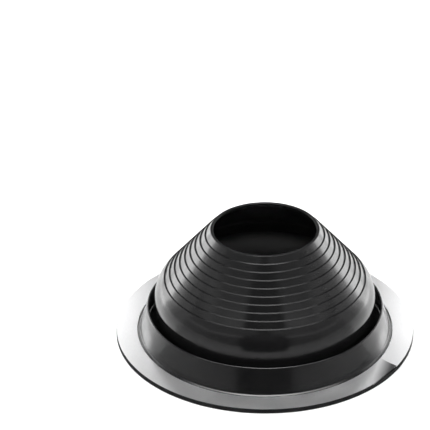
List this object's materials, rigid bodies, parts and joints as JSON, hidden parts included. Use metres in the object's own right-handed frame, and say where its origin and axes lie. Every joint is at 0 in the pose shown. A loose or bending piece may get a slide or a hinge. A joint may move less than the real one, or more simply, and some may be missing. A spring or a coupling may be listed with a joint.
{
  "type": "pipe flashing boot",
  "caption": "Flexible rubber roof flashing for a round pipe: a stepped cone cut to the pipe's size, over a gutter and a round flange with a soft aluminium strip ring.",
  "frame": {"origin": "centre of the flange's flat underside, on the boot's axis, where the roof's surface lies", "axes": "+Z out of the roof along the pipe's axis, from the flange to the mouth; the strip ring's open joint lies about 28 to 30 degrees from +X towards -Y"},
  "size_m": [0.29, 0.29, 0.1135],
  "materials": {
    "epdm_rubber": "moulded, satin black",
    "soft_aluminium": "rolled strip, satin bright"
  },
  "bodies": {
    "root": {"rubber_boot": "epdm_rubber", "flange_ring": "soft_aluminium"}
  },
  "joints": []
}
